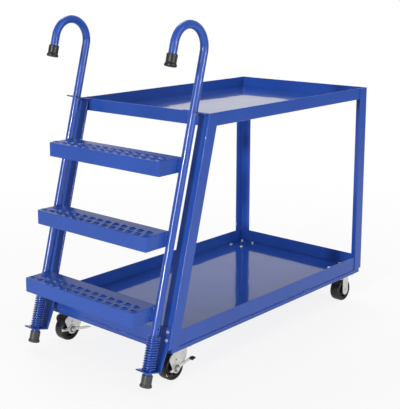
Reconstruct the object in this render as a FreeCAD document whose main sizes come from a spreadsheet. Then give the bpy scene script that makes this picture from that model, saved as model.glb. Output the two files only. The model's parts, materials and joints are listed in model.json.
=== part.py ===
import FreeCAD, Part
import math
import os
import re
import Sketcher
from FreeCAD import Placement, Rotation, Vector

# Order picking trolley: a two-shelf cart with a sprung ladder at its front end.
# Lengths are millimetres, angles are degrees. +Z is up, the ladder is at the -X end,
# the floor is at Z 0 and the origin is below the middle of the whole trolley.
# Left is +Y and right is -Y, as seen by a person who stands before the ladder.

SIZES = {
    # Cart frame
    "cart_length": 1326,
    "cart_width": 711,
    "shelf_rise": 790,
    "bottom_lip_height": 60,
    "top_lip_height": 51,
    "lip_thick": 3,
    "lip_corner_radius": 6,
    "rim_flange": 14,
    "deck_thick": 2,
    "deck_clear": 0.5,
    "post_leg": 51,
    "post_thick": 4.8,
    "post_lean": 15,
    "post_root_radius": 5,
    "seat_gap": 0.2,
    # Frame below the bottom shelf
    "under_depth": 21,
    "under_thick": 3,
    "under_inset": 1,
    "under_flange": 11,
    "groove_height": 5,
    "stitch_length": 70,
    "end_stitch": 40,
    "channel_edge": 10,
    "channel_thick": 3,
    # Ladder rails
    "rail_diameter": 31.75,
    "rail_wall": 2.5,
    "rail_inset": 37,
    "rail_offset": 52,
    "hook_level": 1268,
    "hook_radius": 82.5,
    "hook_drop": 78,
    # Rubber tips on the rail ends
    "tip_height": 46,
    "tip_top_diameter": 41,
    "tip_base_diameter": 47,
    "tip_floor": 8,
    "tip_flare": 12,
    "tip_foot_level": 28.5,
    # Steps
    "step_first": 317,
    "step_spacing": 265,
    "step_reach": 124,
    "step_setback": 1,
    "step_height": 56,
    "step_thick": 2.5,
    "step_rear_drop": 30,
    "step_corner_radius": 8,
    "weld_gap": 0.3,
    # Raised and punched buttons of the treads
    "button_pitch": 43.7,
    "button_row_pitch": 40,
    "button_front": 20,
    "button_edge": 15,
    "button_base_diameter": 30,
    "button_top_diameter": 18,
    "button_hole_diameter": 12,
    "button_height": 4,
    # Guide plates and spring brackets
    "guide_thick": 5,
    "guide_width": 53,
    "guide_front": 36,
    "guide_corner_radius": 9,
    "guide_drop": 2,
    "guide_clear": 0.4,
    "bracket_thick": 5,
    "bracket_width": 58,
    "bracket_front": 38,
    "bracket_waist": 34,
    "bracket_tab_rise": 8.7,
    "bracket_tab_height": 87,
    "bracket_bolt_rise": 48.7,
    "bracket_bolt_pitch": 31,
    "bracket_bolt_edge": 7.5,
    "bracket_bolt_diameter": 6.5,
    "seat_level": 91,
    # Springs with their collars and pins
    "spring_length": 122,
    "spring_diameter": 50,
    "wire_diameter": 5.5,
    "spring_end_gap": 0.3,
    "collar_diameter": 47,
    "collar_thick": 4,
    "pin_diameter": 8,
    "pin_length": 38,
    "pin_clear": 0.05,
    "spare_hole_pitch": 25,
    # Casters
    "wheel_gap": 13,
    "caster_side_inset": 62,
    "front_caster_inset": 103,
    "rear_caster_inset": 75,
    "plate_edge_long": 11,
    "plate_edge_wide": 17.5,
    "caster_plate_thick": 3.5,
    "caster_plate_radius": 10,
    "bolt_pitch_long": 92,
    "bolt_pitch_wide": 67,
    "bolt_diameter": 9.5,
    "bolt_head_diameter": 18,
    "bolt_head_height": 5.5,
    "bolt_hole_clear": 0.4,
    "nut_height": 7,
    "caster_trail": 29,
    "race_radius": 34,
    "race_height": 7,
    "race_gap": 0.5,
    "crown_radius": 38,
    "crown_thick": 4,
    "king_radius": 6,
    "king_head_radius": 11,
    "king_head_height": 4,
    "fork_gap": 54,
    "fork_thick": 3.5,
    "fork_top_half": 32,
    "fork_shoulder": 24,
    "fork_heel_reach": 18,
    "fork_heel_rise": 7,
    "fork_nose_reach": 40,
    "fork_nose_drop": 21,
    "fork_corner_radius": 16,
    "fork_boss_radius": 20,
    "fork_hole_rise": 33,
    "fork_hole_diameter": 6,
    "rigid_half": 20.5,
    "axle_diameter": 10,
    "axle_clear": 0.05,
    "axle_head_diameter": 17,
    "axle_head_height": 6,
    "washer_gap": 0.3,
    # Wheels
    "wheel_diameter": 102,
    "wheel_width": 48,
    "tyre_depth": 13,
    "tyre_shoulder": 4,
    "hub_radius": 15,
    "hub_length": 52,
    "web_thick": 9,
    "web_rim": 5,
    # Brake levers
    "lever_thick": 3,
    "lever_boss_radius": 19,
    "lever_front": 58,
    "lever_rear": 86,
    "lever_arm_width": 12,
    "lever_tab_length": 17,
    "lever_tab_reach": 18,
    "lever_tilt_left": 10,
    "lever_tilt_right": -11,
    # Overrun of every cutting tool
    "overrun": 5,
}

SPRING_TURNS = 13
EASED_TURNS = 0.5
ARCS_PER_TURN = 4
GAP_POINTS_PER_TURN = 36
BUTTON_ROWS = 2
HEXAGON_SIDES = 6
NEARLY_ZERO_SHARE = 0.001
STEP_NAMES = ("bottom", "middle", "top")
SIDES = {"left": 1, "right": -1}

# Places that follow from the sizes. Points on the leaning rails are given by their distance
# along the rail from the floor (level) and their distance behind its axis (back).
LAYOUT = {
    "half_width": "cart_width / 2",
    "caster_top": "wheel_diameter + wheel_gap + crown_thick + race_gap + race_height",
    "caster_height": "caster_top + caster_plate_thick",
    "lip_bottom_z": "caster_height + under_depth",
    "bottom_lip_z": "lip_bottom_z + bottom_lip_height",
    "top_lip_z": "bottom_lip_z + shelf_rise",
    "top_shelf_z": "top_lip_z - top_lip_height",
    "deck_z": "lip_bottom_z + lip_thick",
    "post_floor_run": "-cart_length / 2 - lip_bottom_z * tan(post_lean)",
    "rail_floor_run": "post_floor_run - rail_offset / cos(post_lean)",
    "step_front_run": "rail_floor_run + step_first * tan(post_lean) - step_reach",
    "cart_x": "-(step_front_run + cart_length / 2) / 2",
    "rear_x": "cart_x + cart_length / 2",
    "post_floor_x": "cart_x + post_floor_run",
    "rail_floor_x": "cart_x + rail_floor_run",
    "post_run": "post_thick / cos(post_lean) + seat_gap",
    "bottom_front_x": "post_floor_x + bottom_lip_z * tan(post_lean) + post_run",
    "top_front_x": "post_floor_x + top_lip_z * tan(post_lean) + post_run",
    "shelf_rear_x": "rear_x - post_thick",
    "shelf_half": "half_width - post_thick",
    "channel_width": "bolt_pitch_long + 2 * channel_edge",
    "rail_y": "half_width - rail_inset",
    "rail_radius": "rail_diameter / 2",
    "step_half": "rail_y - rail_radius - weld_gap",
    "step_depth": "step_reach - step_setback",
    "tube_foot_level": "tip_foot_level + tip_floor",
    "guide_top_z": "top_lip_z - guide_drop + rail_offset * sin(post_lean)",
    "guide_level": "guide_top_z / cos(post_lean) - guide_thick",
    "post_foot_level": "lip_bottom_z / cos(post_lean)",
    "bracket_tab_low": "post_foot_level + bracket_tab_rise",
    "bracket_tab_high": "bracket_tab_low + bracket_tab_height",
    "bracket_bolt_low": "post_foot_level + bracket_bolt_rise",
    "stop_pin_level": "guide_level - spring_end_gap - pin_diameter / 2",
    "spring_top": "seat_level + spring_length",
    "spring_pin_level": "spring_top + collar_thick + pin_diameter / 2",
    "caster_y": "half_width - caster_side_inset",
    "front_caster_x": "cart_x - cart_length / 2 + front_caster_inset",
    "rear_caster_x": "rear_x - rear_caster_inset",
    "caster_plate_length": "bolt_pitch_long + 2 * plate_edge_long",
    "caster_plate_width": "bolt_pitch_wide + 2 * plate_edge_wide",
    "plate_z": "caster_height - caster_plate_thick",
    "race_z": "plate_z - race_height",
    "crown_z": "race_z - race_gap - crown_thick",
    "axle_z": "wheel_diameter / 2",
    "fork_half": "fork_gap / 2 + fork_thick",
    "lever_y": "fork_half + washer_gap",
    "nut_y": "lever_y + lever_thick + washer_gap",
    "tyre_radius": "wheel_diameter / 2 - tyre_depth",
}

doc = FreeCAD.newDocument("order_picking_trolley")
sheet_of = {}


def fill_sheet(name, cells, write):
    """Make a spreadsheet with one aliased cell for each entry."""
    sheet = doc.addObject("Spreadsheet::Sheet", name)
    for row, (alias, content) in enumerate(cells.items(), start=1):
        sheet.set(f"A{row}", alias)
        sheet.set(f"B{row}", write(content))
        sheet.setAlias(f"B{row}", alias)
        sheet_of[alias] = name
    doc.recompute()
    return sheet


def formula(text):
    """Turn the alias names in a formula into references to their sheet."""
    def reference(match):
        word = match.group()
        return f"{sheet_of[word]}.{word}" if word in sheet_of else word
    return re.sub(r"[a-z_]+", reference, text)


sizes = fill_sheet("Sizes", SIZES, str)
fill_sheet("Layout", LAYOUT, lambda text: "=" + formula(text))


def value(text):
    """The number that a formula gives now."""
    return float(sizes.evalExpression(formula(text)))


def bind(thing, **formulas):
    """Bind properties of a document object to formulas."""
    for name, text in formulas.items():
        thing.setExpression(name.replace("__", "."), formula(text))
    return thing


def place(thing, x="0", y="0", z="0", axis=None, angle="0"):
    """Bind a placement: a turn about an axis, then a move."""
    if axis is not None:
        start = value(angle) or 1.0
        thing.Placement = Placement(Vector(), Rotation(axis, start))
        bind(thing, Placement__Rotation__Angle=angle)
    return bind(thing, Placement__Base__x=x, Placement__Base__y=y, Placement__Base__z=z)


X_AXIS = Vector(1, 0, 0)
Y_AXIS = Vector(0, 1, 0)
QUARTER_TURN = "90"


def box(name, size, at):
    """A box with its lowest corner at a point."""
    thing = doc.addObject("Part::Box", name)
    bind(thing, Length=size[0], Width=size[1], Height=size[2])
    return place(thing, *at)


def rod(name, radius, length, at, along="z"):
    """A cylinder that starts at a point and runs along +Z, +X or -Y."""
    thing = doc.addObject("Part::Cylinder", name)
    bind(thing, Radius=radius, Height=length)
    if along == "z":
        return place(thing, *at)
    return place(thing, *at, axis=X_AXIS if along == "y" else Y_AXIS, angle=QUARTER_TURN)


def hexagon(name, across_corners, height, at, along="z"):
    """A hexagonal prism that starts at a point and runs along +Z or -Y."""
    thing = doc.addObject("Part::Prism", name)
    thing.Polygon = HEXAGON_SIDES
    bind(thing, Circumradius=f"({across_corners}) / 2", Height=height)
    if along == "z":
        return place(thing, *at)
    return place(thing, *at, axis=X_AXIS, angle=QUARTER_TURN)


def fuse(name, things):
    thing = doc.addObject("Part::MultiFuse", name)
    thing.Shapes = things
    thing.Refine = True
    return thing


def cut(name, base, tools):
    thing = doc.addObject("Part::Cut", name)
    thing.Base = base
    thing.Tool = tools[0] if len(tools) == 1 else fuse(name + "_tools", tools)
    return thing


def common(name, first, second):
    thing = doc.addObject("Part::Common", name)
    thing.Base = first
    thing.Tool = second
    return thing


def group(name, things):
    thing = doc.addObject("Part::Compound", name)
    thing.Links = things
    return thing


def round_edges(name, base, radius, chosen):
    """Round the edges of a shape that a test on their end points chooses."""
    doc.recompute()
    thing = doc.addObject("Part::Fillet", name)
    thing.Base = base
    size = value(radius)
    numbered = enumerate(base.Shape.Edges, start=1)
    thing.Edges = [(number, size, size) for number, edge in numbered if chosen(edge)]
    return thing


def upright(edge):
    """True for an edge that runs along Z."""
    first, last = edge.Vertexes[0].Point, edge.Vertexes[-1].Point
    level = math.hypot(first.x - last.x, first.y - last.y)
    return level < edge.Length * NEARLY_ZERO_SHARE and len(edge.Vertexes) == 2


def sketch(body, plane, name, points):
    """A closed outline of straight lines, each corner bound to a pair of formulas."""
    drawing = body.newObject("Sketcher::SketchObject", name)
    support = next(f for f in body.Origin.OriginFeatures if f.Role == plane)
    drawing.AttachmentSupport = (support, "")
    drawing.MapMode = "FlatFace"
    corners = [Vector(value(across), value(up), 0) for across, up in points]
    count = len(corners)
    for index in range(count):
        line = Part.LineSegment(corners[index], corners[(index + 1) % count])
        drawing.addGeometry(line, False)
    for index in range(count):
        following = (index + 1) % count
        drawing.addConstraint(Sketcher.Constraint("Coincident", index, 2, following, 1))
    for index, (pair, corner) in enumerate(zip(points, corners)):
        for kind, text, size in zip(("DistanceX", "DistanceY"), pair, (corner.x, corner.y)):
            rule = drawing.addConstraint(Sketcher.Constraint(kind, -1, 1, index, 1, size))
            drawing.setExpression(f"Constraints[{rule}]", formula(text))
    return drawing


def padded(name, plane, points, length):
    """A body padded both ways from the middle plane of its outline."""
    body = doc.addObject("PartDesign::Body", name)
    pad = body.newObject("PartDesign::Pad", name + "_pad")
    pad.Profile = sketch(body, plane, name + "_outline", points)
    pad.Midplane = True
    bind(pad, Length=length)
    return body


def turned(name, plane, points, axis):
    """A body turned about an axis of its outline."""
    body = doc.addObject("PartDesign::Body", name)
    turn = body.newObject("PartDesign::Revolution", name + "_turn")
    profile = sketch(body, plane, name + "_outline", points)
    turn.Profile = profile
    turn.ReferenceAxis = (profile, [axis])
    turn.Angle = 360
    return body


nodes = {}


def node(name, thing):
    """Keep a finished piece under the name of its file."""
    thing.Label = name
    nodes[name] = thing
    return thing


def on_rail(thing, side):
    """Move a piece from the rail's own frame to its leaning place."""
    y = f"{SIDES[side]} * rail_y"
    return place(thing, "rail_floor_x", y, "0", Y_AXIS, "post_lean")


# Shelves: a lipped rim with a flange below, and a deck sheet that lies on the flange

def shelf(name, front, bottom, lip):
    length = f"(shelf_rear_x - {front})"
    width = "2 * shelf_half"
    outer = box(name + "_outer", (length, width, lip), (front, "-shelf_half", bottom))
    rounded = round_edges(name + "_rounded", outer, "lip_corner_radius", upright)
    inside = box(
        name + "_inside",
        (f"{length} - 2 * lip_thick", f"{width} - 2 * lip_thick", lip),
        (f"{front} + lip_thick", "lip_thick - shelf_half", f"{bottom} + lip_thick"),
    )
    window = box(
        name + "_window",
        (f"{length} - 2 * rim_flange", f"{width} - 2 * rim_flange", f"{lip} + overrun"),
        (f"{front} + rim_flange", "rim_flange - shelf_half", f"{bottom} - overrun"),
    )
    node(name + "_frame", cut(name + "_rim", rounded, [inside, window]))
    margin = "(lip_thick + deck_clear)"
    return box(
        name + "_sheet",
        (f"{length} - 2 * {margin}", f"{width} - 2 * {margin}", "deck_thick"),
        (f"{front} + {margin}", f"{margin} - shelf_half", f"{bottom} + lip_thick"),
    )


def caster_places():
    """Formula pairs of the four caster centres."""
    for x in ("front_caster_x", "rear_caster_x"):
        for sign in SIDES.values():
            yield x, f"{sign} * caster_y"


def bolt_places(centres):
    """Formula pairs of the bolts round some caster centres."""
    for x, y in centres:
        for across in (-1, 1):
            for along in (-1, 1):
                bolt_x = f"{x} + {along} * bolt_pitch_long / 2"
                bolt_y = f"{y} + {across} * bolt_pitch_wide / 2"
                yield bolt_x, bolt_y


def bolt_holes(name, places, bottom, height):
    radius = "bolt_diameter / 2 + bolt_hole_clear"
    return [
        rod(f"{name}_hole_{number}", radius, height, (x, y, bottom))
        for number, (x, y) in enumerate(places)
    ]


node("top_deck", shelf("top_shelf", "top_front_x", "top_shelf_z", "top_lip_height"))
bottom_sheet = shelf("bottom_shelf", "bottom_front_x", "lip_bottom_z", "bottom_lip_height")
all_bolts = list(bolt_places(caster_places()))
deck_holes = bolt_holes("deck", all_bolts, "deck_z - overrun", "deck_thick + 2 * overrun")
node("bottom_deck", cut("bottom_deck_cut", bottom_sheet, deck_holes))


# Posts: angle iron with a rounded root, leaning in front and upright behind

def angle_iron(name, length):
    """An angle along +Z with its outer corner on the axis and its legs along +X and +Y."""
    points = [
        ("0", "0"), ("post_leg", "0"), ("post_leg", "post_thick"),
        ("post_thick", "post_thick"), ("post_thick", "post_leg"), ("0", "post_leg"),
    ]
    body = doc.addObject("PartDesign::Body", name)
    pad = body.newObject("PartDesign::Pad", name + "_pad")
    pad.Profile = sketch(body, "XY_Plane", name + "_outline", points)
    bind(pad, Length=length)
    doc.recompute()
    root = body.newObject("PartDesign::Fillet", name + "_root")
    inner = value("post_thick")

    def at_root(edge):
        point = edge.Vertexes[0].Point
        return upright(edge) and math.isclose(point.x, inner) and math.isclose(point.y, inner)

    numbered = enumerate(pad.Shape.Edges, start=1)
    root.Base = (pad, [f"Edge{number}" for number, edge in numbered if at_root(edge)])
    bind(root, Radius="post_root_radius")
    return body


def mirrored(name, thing):
    """A copy of a piece on the other side of the middle plane."""
    copy = doc.addObject("Part::Mirroring", name)
    copy.Source = thing
    copy.Normal = Y_AXIS
    return copy


def front_post():
    """The right front post, cut level at both ends."""
    length = "(top_lip_z + post_leg) / cos(post_lean)"
    iron = angle_iron("front_iron", length)
    place(iron, "post_floor_x", "-half_width", "0", Y_AXIS, "post_lean")
    slab = box(
        "front_post_slab",
        ("cart_length", "cart_width", "top_lip_z - lip_bottom_z"),
        ("post_floor_x", "-half_width", "lip_bottom_z"),
    )
    return common("front_post_cut", iron, slab)


def rear_post():
    """The right rear post: the same iron turned so that its corner points outwards."""
    iron = angle_iron("rear_iron", "top_lip_z - lip_bottom_z")
    return place(iron, "rear_x", "-half_width", "lip_bottom_z", Vector(0, 0, 1), QUARTER_TURN)


for end, post in (("front", front_post()), ("rear", rear_post())):
    node(f"{end}_post_right", post)
    node(f"{end}_post_left", mirrored(f"{end}_post_mirror", post))


# Frame below the bottom shelf: an angle rim, and two channels that carry the casters

def stitches(front, half, length):
    """Pads that fill the groove at the ends and the third points of each side."""
    low = "lip_bottom_z - groove_height"
    pads = []
    for side, y in {"left": f"{half} - under_thick", "right": f"-{half}"}.items():
        middles = [f"{front} + {third} * {length} / 3 - stitch_length / 2" for third in (1, 2)]
        starts = [(x, "stitch_length") for x in middles]
        starts += [(front, "end_stitch"), (f"{front} + {length} - end_stitch", "end_stitch")]
        for number, (x, size) in enumerate(starts):
            pad = (size, "under_thick", "groove_height")
            pads.append(box(f"stitch_{side}_{number}", pad, (x, y, low)))
    for end, x in {"front": front, "rear": f"{front} + {length} - under_thick"}.items():
        for number, third in enumerate((-1, 1)):
            y = f"{third} * {half} / 3 - stitch_length / 2"
            pad = ("under_thick", "stitch_length", "groove_height")
            pads.append(box(f"stitch_{end}_{number}", pad, (x, y, low)))
    return pads


def under_rim():
    """An angle rim that hangs below the shelf on stitches, with a groove between them."""
    front = "(bottom_front_x + under_inset)"
    half = "(shelf_half - under_inset)"
    length = f"(shelf_rear_x - under_inset - {front})"
    height = "(under_depth - groove_height)"
    outer = box("under_outer", (length, f"2 * {half}", height), (front, f"-{half}", "caster_height"))
    below = box(
        "under_below",
        (f"{length} - 2 * under_thick", f"2 * ({half} - under_thick)", height),
        (f"{front} + under_thick", f"under_thick - {half}", "caster_height - under_thick"),
    )
    window = box(
        "under_window",
        (f"{length} - 2 * under_flange", f"2 * ({half} - under_flange)", "under_depth + overrun"),
        (f"{front} + under_flange", f"under_flange - {half}", "caster_height"),
    )
    folded = cut("under_cut", outer, [below, window])
    return fuse("under_stitched", [folded, *stitches(front, half, length)])


def cross_channel(name, x, places):
    web_half = "(shelf_half - under_inset - under_thick - weld_gap)"
    flange_half = "(shelf_half - rim_flange - weld_gap)"
    height = "(deck_z - caster_height)"
    start = f"{x} - channel_width / 2"
    web_size = ("channel_width", f"2 * {web_half}", "channel_thick")
    web = box(name + "_web", web_size, (start, f"-{web_half}", "caster_height"))
    flange_size = ("channel_thick", f"2 * {flange_half}", height)
    ends = (start, f"{x} + channel_width / 2 - channel_thick")
    flanges = [
        box(f"{name}_flange_{number}", flange_size, (at, f"-{flange_half}", "caster_height"))
        for number, at in enumerate(ends)
    ]
    holes = bolt_holes(name, places, "caster_height - overrun", "channel_thick + 2 * overrun")
    return cut(name + "_drilled", fuse(name + "_welded", [web, *flanges]), holes)


node("under_rim", under_rim())
half_count = len(all_bolts) // 2
node("front_cross_channel", cross_channel("front_channel", "front_caster_x", all_bolts[:half_count]))
node("rear_cross_channel", cross_channel("rear_channel", "rear_caster_x", all_bolts[half_count:]))


# Caster bolts from the deck down to the caster plates

def caster_bolt(name, x, y):
    top = "deck_z + deck_thick"
    low = "plate_z - nut_height - bolt_diameter / 2"
    shank = rod(name + "_shank", "bolt_diameter / 2", f"{top} - ({low})", (x, y, low))
    head = hexagon(name + "_head", "bolt_head_diameter", "bolt_head_height", (x, y, top))
    return fuse(name, [shank, head])


def caster_nut(name, x, y):
    low = "plate_z - nut_height"
    blank = hexagon(name + "_blank", "bolt_head_diameter", "nut_height", (x, y, low))
    start = (x, y, f"{low} - overrun")
    bore = rod(name + "_bore", "bolt_diameter / 2 + pin_clear", "nut_height + 2 * overrun", start)
    return cut(name, blank, [bore])


bolts = [caster_bolt(f"bolt_{number}", x, y) for number, (x, y) in enumerate(all_bolts)]
nuts = [caster_nut(f"nut_{number}", x, y) for number, (x, y) in enumerate(all_bolts)]
node("caster_bolts", group("bolts", bolts))
node("caster_nuts", group("nuts", nuts))


# Ladder rails: a tube bent over into a hook, drilled for its pins

def hooked_solid(name, radius, foot, drop):
    long_leg = rod(name + "_leg", radius, f"hook_level - ({foot})", ("0", "0", foot))
    bend = doc.addObject("Part::Torus", name + "_bend")
    bend.Angle3 = 180
    bind(bend, Radius1="hook_radius", Radius2=radius)
    place(bend, "-hook_radius", "0", "hook_level", X_AXIS, QUARTER_TURN)
    short_leg = rod(name + "_drop", radius, drop, ("-2 * hook_radius", "0", f"hook_level - ({drop})"))
    return fuse(name, [long_leg, bend, short_leg])


def cross_hole(name, level):
    start = "rail_radius + overrun"
    return rod(name, "pin_diameter / 2 + pin_clear", f"2 * ({start})", ("0", start, level), along="y")


def handrail(side):
    outside = hooked_solid(f"rail_outside_{side}", "rail_radius", "tube_foot_level", "hook_drop")
    bore = "rail_radius - rail_wall"
    foot = "tube_foot_level - overrun"
    inside = hooked_solid(f"rail_inside_{side}", bore, foot, "hook_drop + overrun")
    levels = {
        "stop": "stop_pin_level",
        "spring": "spring_pin_level",
        "spare": "spring_pin_level + spare_hole_pitch",
    }
    holes = [cross_hole(f"rail_{key}_hole_{side}", level) for key, level in levels.items()]
    return cut(f"rail_{side}", outside, [inside, *holes])


def rubber_tip(name, back, level):
    """A closed rubber sleeve with a flared base, its base at a level of the rail."""
    bore = "(rail_radius + pin_clear)"
    points = [
        ("0", "0"), ("tip_base_diameter / 2", "0"), ("tip_base_diameter / 2", "tip_floor"),
        ("tip_top_diameter / 2", "tip_flare + tip_floor"), ("tip_top_diameter / 2", "tip_height"),
        (bore, "tip_height"), (bore, "tip_floor"), ("0", "tip_floor"),
    ]
    tip = turned(name, "XZ_Plane", points, "V_Axis")
    place(tip, back, "0", level)
    return tip


def cross_pin(name, level):
    return rod(name, "pin_diameter / 2", "pin_length", ("0", "pin_length / 2", level), along="y")


def collar(name):
    disc = rod(name + "_disc", "collar_diameter / 2", "collar_thick", ("0", "0", "spring_top"))
    start = ("0", "0", "spring_top - overrun")
    bore = rod(name + "_bore", "rail_radius + pin_clear", "collar_thick + 2 * overrun", start)
    return cut(name, disc, [bore])


def in_rail_frame(name, thing, side):
    """Wrap a piece made in the rail's frame and move it to its place."""
    return on_rail(group(name, [thing]), side)


for side in SIDES:
    node(f"handrail_{side}", on_rail(handrail(side), side))
    grip = rubber_tip(f"grip_{side}", "-2 * hook_radius", "hook_level - hook_drop - tip_floor")
    node(f"grip_cap_{side}", in_rail_frame(f"grip_placed_{side}", grip, side))
    foot = rubber_tip(f"foot_{side}", "0", "tip_foot_level")
    node(f"foot_tip_{side}", in_rail_frame(f"foot_placed_{side}", foot, side))
    node(f"spring_collar_{side}", on_rail(collar(f"collar_{side}"), side))
    pins = {"stop_pin": "stop_pin_level", "spring_pin": "spring_pin_level"}
    for pin, level in pins.items():
        made = cross_pin(f"{pin}_rod_{side}", level)
        node(f"{pin}_{side}", in_rail_frame(f"{pin}_placed_{side}", made, side))


# Steps: a folded tread with front, side and rear flanges, stamped with punched buttons

def folded_step():
    """A step whose front face and tread lie on its own axes."""
    lean_run = "tan(post_lean)"
    outline = [
        ("0", "0"), ("step_depth", "0"),
        (f"step_depth - step_height * {lean_run}", "-step_height"), ("0", "-step_height"),
    ]
    rear = "step_depth - step_thick / cos(post_lean)"
    low = "step_height + overrun"
    hollow = [
        ("step_thick", "-step_thick"), (f"{rear} - step_thick * {lean_run}", "-step_thick"),
        (f"{rear} - ({low}) * {lean_run}", f"-({low})"), ("step_thick", f"-({low})"),
    ]
    folded = padded("step_folded", "XZ_Plane", outline, "2 * step_half")
    rounded = round_edges("step_rounded", folded, "step_corner_radius", front_corner)
    pocket = padded("step_pocket", "XZ_Plane", hollow, "2 * (step_half - step_thick)")
    slot = box(
        "step_rear_slot",
        ("step_depth", "2 * (step_half - step_thick)", "step_height"),
        ("step_depth / 2", "step_thick - step_half", "-step_height - step_rear_drop"),
    )
    return cut("step_shell", rounded, [pocket, slot])


def front_corner(edge):
    """True for the two upright corners of a step's front face."""
    slack = edge.Length * NEARLY_ZERO_SHARE
    return upright(edge) and all(abs(vertex.X) < slack for vertex in edge.Vertexes)


def button_places():
    """Formula pairs of the tread's buttons, in rows that are staggered by half a pitch."""
    longest = int(value("2 * (step_half - button_edge) / button_pitch")) + 1
    for row in range(BUTTON_ROWS):
        count = longest - row % 2
        for number in range(count):
            across = f"({number} - {count - 1} / 2) * button_pitch"
            yield f"button_front + {row} * button_row_pitch", across


def stamped_step():
    """The folded step with its raised buttons, each punched through."""
    raised = []
    punched = []
    for number, (x, y) in enumerate(button_places()):
        button = doc.addObject("Part::Cone", f"button_{number}")
        bind(button, Radius1="button_base_diameter / 2", Radius2="button_top_diameter / 2")
        bind(button, Height="button_height")
        raised.append(place(button, x, y, "0"))
        depth = "step_thick + button_height + 2 * overrun"
        start = (x, y, "-step_thick - overrun")
        punched.append(rod(f"button_hole_{number}", "button_hole_diameter / 2", depth, start))
    return cut("step_stamped", fuse("step_raised", [folded_step(), *raised]), punched)


stamped = stamped_step()
for number, name in enumerate(STEP_NAMES):
    level = f"(step_first + {number} * step_spacing)"
    x = f"rail_floor_x + {level} * tan(post_lean) - step_reach"
    node(f"step_{name}", place(group(f"step_{name}_placed", [stamped]), x, "0", level))


# Top guide plates and lower spring brackets, square to the rails

def rail_bore(name, bottom, thick):
    radius = "rail_radius + guide_clear"
    return rod(name, radius, f"{thick} + 2 * overrun", ("0", "0", f"{bottom} - overrun"))


def guide_plate(side):
    blank = box(
        f"guide_blank_{side}",
        ("rail_offset + guide_front", "guide_width", "guide_thick"),
        ("-guide_front", "-guide_width / 2", "guide_level"),
    )
    edge_x = value("-guide_front")
    rounded = round_edges(
        f"guide_rounded_{side}", blank, "guide_corner_radius",
        lambda edge: upright(edge) and math.isclose(edge.Vertexes[0].X, edge_x),
    )
    bore = rail_bore(f"guide_bore_{side}", "guide_level", "guide_thick")
    return cut(f"guide_{side}", rounded, [bore])


def bracket_bolt_places(side):
    """Across-rail formula and levels of the two bolts of a spring bracket."""
    across = f"{SIDES[side]} * (bracket_width / 2 - bracket_bolt_edge)"
    levels = ("bracket_bolt_low", "bracket_bolt_low + bracket_bolt_pitch")
    return [(across, level) for level in levels]


def spring_bracket(side):
    """A strip folded from a tab on the post through a leaning web to a seat under the spring."""
    seat = "(seat_level - bracket_thick)"
    tab = "(rail_offset - bracket_thick)"
    points = [
        ("rail_offset", "bracket_tab_high"), (tab, "bracket_tab_high"), (tab, "bracket_tab_low"),
        ("bracket_waist", "seat_level"), ("-bracket_front", "seat_level"), ("-bracket_front", seat),
        ("bracket_waist + bracket_thick", seat), ("rail_offset", "bracket_tab_low"),
    ]
    strip = padded(f"bracket_strip_{side}", "XZ_Plane", points, "bracket_width")
    holes = [rail_bore(f"bracket_bore_{side}", seat, "bracket_thick")]
    for number, (across, level) in enumerate(bracket_bolt_places(side)):
        radius = "bracket_bolt_diameter / 2 + bolt_hole_clear"
        start = (f"{tab} - overrun", across, level)
        depth = "bracket_thick + 2 * overrun"
        holes.append(rod(f"bracket_hole_{side}_{number}", radius, depth, start, along="x"))
    return cut(f"bracket_{side}", strip, holes)


for side in SIDES:
    node(f"top_guide_{side}", on_rail(guide_plate(side), side))
    node(f"spring_bracket_{side}", on_rail(spring_bracket(side), side))


# Springs: one wire each, wound on arcs, with half a turn of easing at both ends

def spring_point(turn):
    """Centre of the wire after a number of turns, and its direction there."""
    radius = value("(spring_diameter - wire_diameter) / 2")
    rise = value("spring_length - wire_diameter - 2 * spring_end_gap")
    pitch = rise / (SPRING_TURNS - EASED_TURNS)
    low = value("seat_level + spring_end_gap + wire_diameter / 2")
    left = SPRING_TURNS - turn
    if turn < EASED_TURNS:
        height, slope = pitch * turn ** 2, 2 * pitch * turn
    elif left < EASED_TURNS:
        height, slope = rise - pitch * left ** 2, 2 * pitch * left
    else:
        height, slope = pitch * (turn - EASED_TURNS / 2), pitch
    angle = 2 * math.pi * turn
    point = Vector(radius * math.cos(angle), radius * math.sin(angle), low + height)
    speed = 2 * math.pi * radius
    direction = Vector(-speed * math.sin(angle), speed * math.cos(angle), slope)
    return point, direction.normalize()


def tangent_arc(start, corner, end):
    """The arc from start to end that touches both lines to their common corner."""
    middle = (start + end) * 0.5
    reach = (corner - start).Length
    half = math.asin((end - start).Length / 2 / reach)
    turn = math.pi / 2 - half
    radius = reach / math.tan(turn)
    inset = radius / math.cos(turn) - radius
    apex = corner + (middle - corner).normalize() * inset
    return Part.Arc(start, apex, end).toShape()


def biarc(start, leaving, end, arriving):
    """Two arcs that leave one point and arrive at another in given directions."""
    chord = end - start
    both = leaving + arriving
    spare = 4 - both.dot(both)
    along = chord.dot(both)
    reach = (math.sqrt(along ** 2 + spare * chord.dot(chord)) - along) / spare
    first = start + leaving * reach
    second = end - arriving * reach
    joint = (first + second) * 0.5
    return [tangent_arc(start, first, joint), tangent_arc(joint, second, end)]


def spring_shape():
    arc_count = SPRING_TURNS * ARCS_PER_TURN
    stations = [spring_point(number / ARCS_PER_TURN) for number in range(arc_count + 1)]
    wire_size = value("wire_diameter")
    (first, leaving), (last, arriving) = stations[0], stations[-1]
    edges = [Part.LineSegment(first - leaving * wire_size, first).toShape()]
    for (start, heading), (end, next_heading) in zip(stations, stations[1:]):
        edges += biarc(start, heading, end, next_heading)
    edges.append(Part.LineSegment(last, last + arriving * wire_size).toShape())
    path = Part.Wire(edges)
    circle = Part.Circle(first - leaving * wire_size, leaving, wire_size / 2)
    section = Part.Wire([circle.toShape()])
    solid = path.makePipeShell([section], True, False)
    gap = least_gap(path, wire_size)
    expected = math.pi * wire_size ** 2 / 4 * path.Length
    print(f"spring: gap to itself {gap:.2f}, volume {solid.Volume:.0f} of {expected:.0f}")
    return solid


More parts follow.
